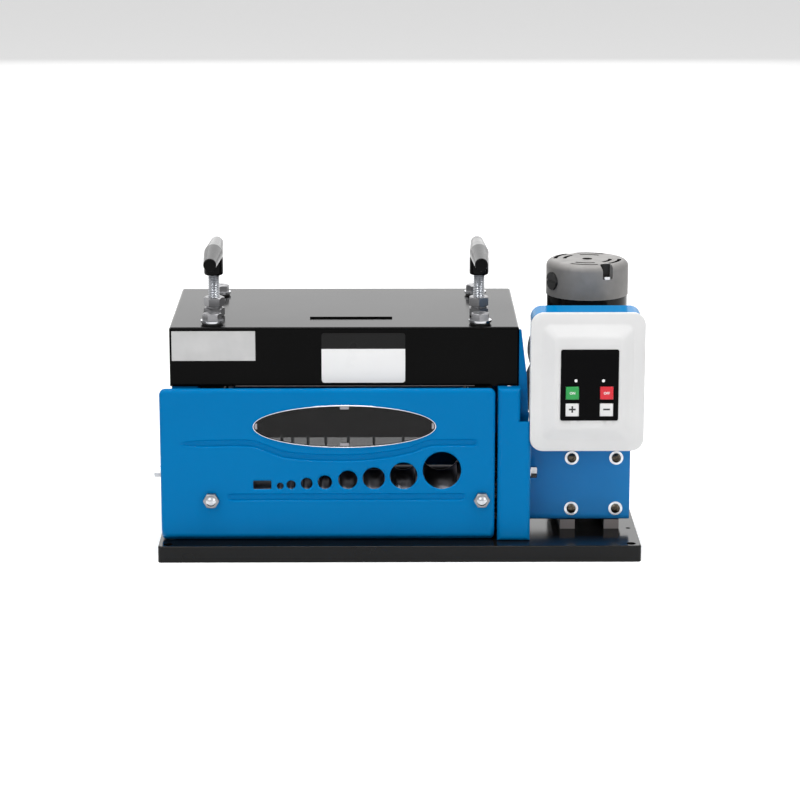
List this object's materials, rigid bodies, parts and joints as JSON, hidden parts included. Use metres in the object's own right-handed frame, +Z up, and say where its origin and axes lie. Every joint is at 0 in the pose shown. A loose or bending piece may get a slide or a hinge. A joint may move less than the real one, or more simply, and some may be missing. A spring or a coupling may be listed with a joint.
{
  "type": "wire stripping machine",
  "caption": "Bench wire stripping machine: blue guard with cable openings over grooved feed rollers and disc blades, T-handled screws, gear cover, upright motor and push-button control box.",
  "frame": {"origin": "centre of the base plate's underside", "axes": "+X along the shafts towards the motor, +Y from the cable openings to the outlet, +Z up"},
  "size_m": [0.4963, 0.24, 0.3108],
  "materials": {
    "base_enamel": "gloss black enamel on steel plate",
    "frame_steel": "ground steel",
    "blue_enamel": "glossy blue enamel on sheet steel",
    "black_enamel": "gloss black enamel on sheet steel",
    "cradle_black": "satin black paint on cast iron",
    "motor_black": "gloss black paint",
    "cast_aluminium": "satin die-cast aluminium",
    "zinc_steel": "bright zinc-plated steel",
    "tool_steel": "turned steel",
    "gear_steel": "oiled gear steel",
    "bronze": "turned bronze",
    "copper_winding": "wound rotor",
    "black_bakelite": "polished black moulding",
    "black_plastic": "moulded black nylon",
    "clear_pane": "clear polycarbonate, faintly smoked",
    "rim_aluminium": "bright aluminium trim",
    "rubber_seal": "black rubber",
    "white_enamel": "gloss white",
    "silver_foil": "brushed aluminium plate",
    "black_foil": "gloss black plate",
    "cover_white": "moulded white ABS",
    "keypad_black": "printed polyester film",
    "button_green": "green moulding",
    "button_red": "red moulding",
    "button_white": "white moulding",
    "lens_white": "frosted lens",
    "board_green": "circuit board"
  },
  "bodies": {
    "frame": {"base_plate": "base_enamel", "left_frame": "black_enamel", "right_frame": "black_enamel", "shaft_bushes": "bronze", "tie_bars": "frame_steel", "hood": "black_enamel", "hood_seal_washers": "rubber_seal", "hood_washers": "zinc_steel", "hood_bolts": "zinc_steel", "screw_nuts": "zinc_steel", "left_side_panel": "blue_enamel", "rear_panel": "blue_enamel", "guard": "blue_enamel", "window_pane": "clear_pane", "window_rim": "rim_aluminium", "window_clips": "rim_aluminium", "guard_studs": "zinc_steel", "guard_nuts": "zinc_steel", "side_screws": "zinc_steel", "gear_cover": "blue_enamel", "gear_side_plate": "blue_enamel", "gearbox_housing": "cradle_black", "gearbox_bolts": "zinc_steel", "motor_cradle": "cradle_black", "motor_housing": "motor_black", "motor_end_cap": "cast_aluminium", "brush_caps": "black_plastic", "end_cap_screws": "zinc_steel", "motor_bracket": "blue_enamel", "bracket_washers": "zinc_steel", "bracket_screws": "tool_steel", "control_box_cover": "cover_white", "keypad": "keypad_black", "led_lenses": "lens_white", "circuit_board": "board_green", "control_box_shell": "blue_enamel", "cable_gland": "black_plastic", "silver_plate": "silver_foil", "white_plate": "white_enamel", "rating_plate": "black_foil"},
    "feed_roller": {"feed_shaft": "tool_steel", "feed_rollers": "tool_steel", "roller_gear": "gear_steel"},
    "drive": {"output_shaft": "tool_steel", "drive_gear": "gear_steel", "worm_wheel": "bronze"},
    "rotor": {"motor_rotor": "copper_winding"},
    "blade_carriage": {"left_bearing_block": "tool_steel", "right_bearing_block": "tool_steel"},
    "blade_roller": {"blade_shaft": "tool_steel", "blades": "tool_steel", "blade_spacers": "tool_steel"},
    "left_handle": {"left_screw": "zinc_steel", "left_grip": "black_bakelite"},
    "right_handle": {"right_screw": "zinc_steel", "right_grip": "black_bakelite"},
    "on_button_key": {"on_button": "button_green"},
    "off_button_key": {"off_button": "button_red"},
    "speed_up_button_key": {"speed_up_button": "button_white"},
    "speed_down_button_key": {"speed_down_button": "button_white"}
  },
  "joints": [
    {"name": "feed_turn", "type": "hinge", "parent": "frame", "child": "feed_roller", "pos_m": [0, -0.028, 0.05], "axis": [1, 0, 0], "continuous": true},
    {"name": "drive_turn", "type": "hinge", "parent": "frame", "child": "drive", "pos_m": [0, 0.034, 0.05789], "axis": [1, 0, 0], "continuous": true},
    {"name": "rotor_turn", "type": "hinge", "parent": "frame", "child": "rotor", "pos_m": [0.1949, 0.006, 0.15], "axis": [0, 0, 1], "continuous": true},
    {"name": "blade_height", "type": "slide", "parent": "frame", "child": "blade_carriage", "axis": [0, 0, 1], "range_m": [-0.02275, 0.01137]},
    {"name": "blade_turn", "type": "hinge", "parent": "blade_carriage", "child": "blade_roller", "pos_m": [0, -0.028, 0.128], "axis": [1, 0, 0], "continuous": true},
    {"name": "left_handle_turn", "type": "hinge", "parent": "blade_carriage", "child": "left_handle", "pos_m": [-0.1895, -0.028, 0.2], "axis": [0, 0, 1], "range_deg": [-4690, 2350]},
    {"name": "right_handle_turn", "type": "hinge", "parent": "blade_carriage", "child": "right_handle", "pos_m": [0.0817, -0.028, 0.2], "axis": [0, 0, 1], "range_deg": [-4690, 2350]},
    {"name": "on_button_press", "type": "slide", "parent": "frame", "child": "on_button_key", "axis": [0, 1, 0], "range_m": [0, 0.0008], "stiffness_N_per_m": 400, "springref_m": -0.0005},
    {"name": "off_button_press", "type": "slide", "parent": "frame", "child": "off_button_key", "axis": [0, 1, 0], "range_m": [0, 0.0008], "stiffness_N_per_m": 400, "springref_m": -0.0005},
    {"name": "speed_up_button_press", "type": "slide", "parent": "frame", "child": "speed_up_button_key", "axis": [0, 1, 0], "range_m": [0, 0.0008], "stiffness_N_per_m": 400, "springref_m": -0.0005},
    {"name": "speed_down_button_press", "type": "slide", "parent": "frame", "child": "speed_down_button_key", "axis": [0, 1, 0], "range_m": [0, 0.0008], "stiffness_N_per_m": 400, "springref_m": -0.0005}
  ],
  "couplings": [
    {"joint": "drive_turn", "follows": "feed_turn", "ratio": -0.78571},
    {"joint": "rotor_turn", "follows": "feed_turn", "ratio": -22},
    {"joint": "left_handle_turn", "follows": "blade_height", "rad_per_m": 3590.4},
    {"joint": "right_handle_turn", "follows": "blade_height", "rad_per_m": 3590.4}
  ]
}
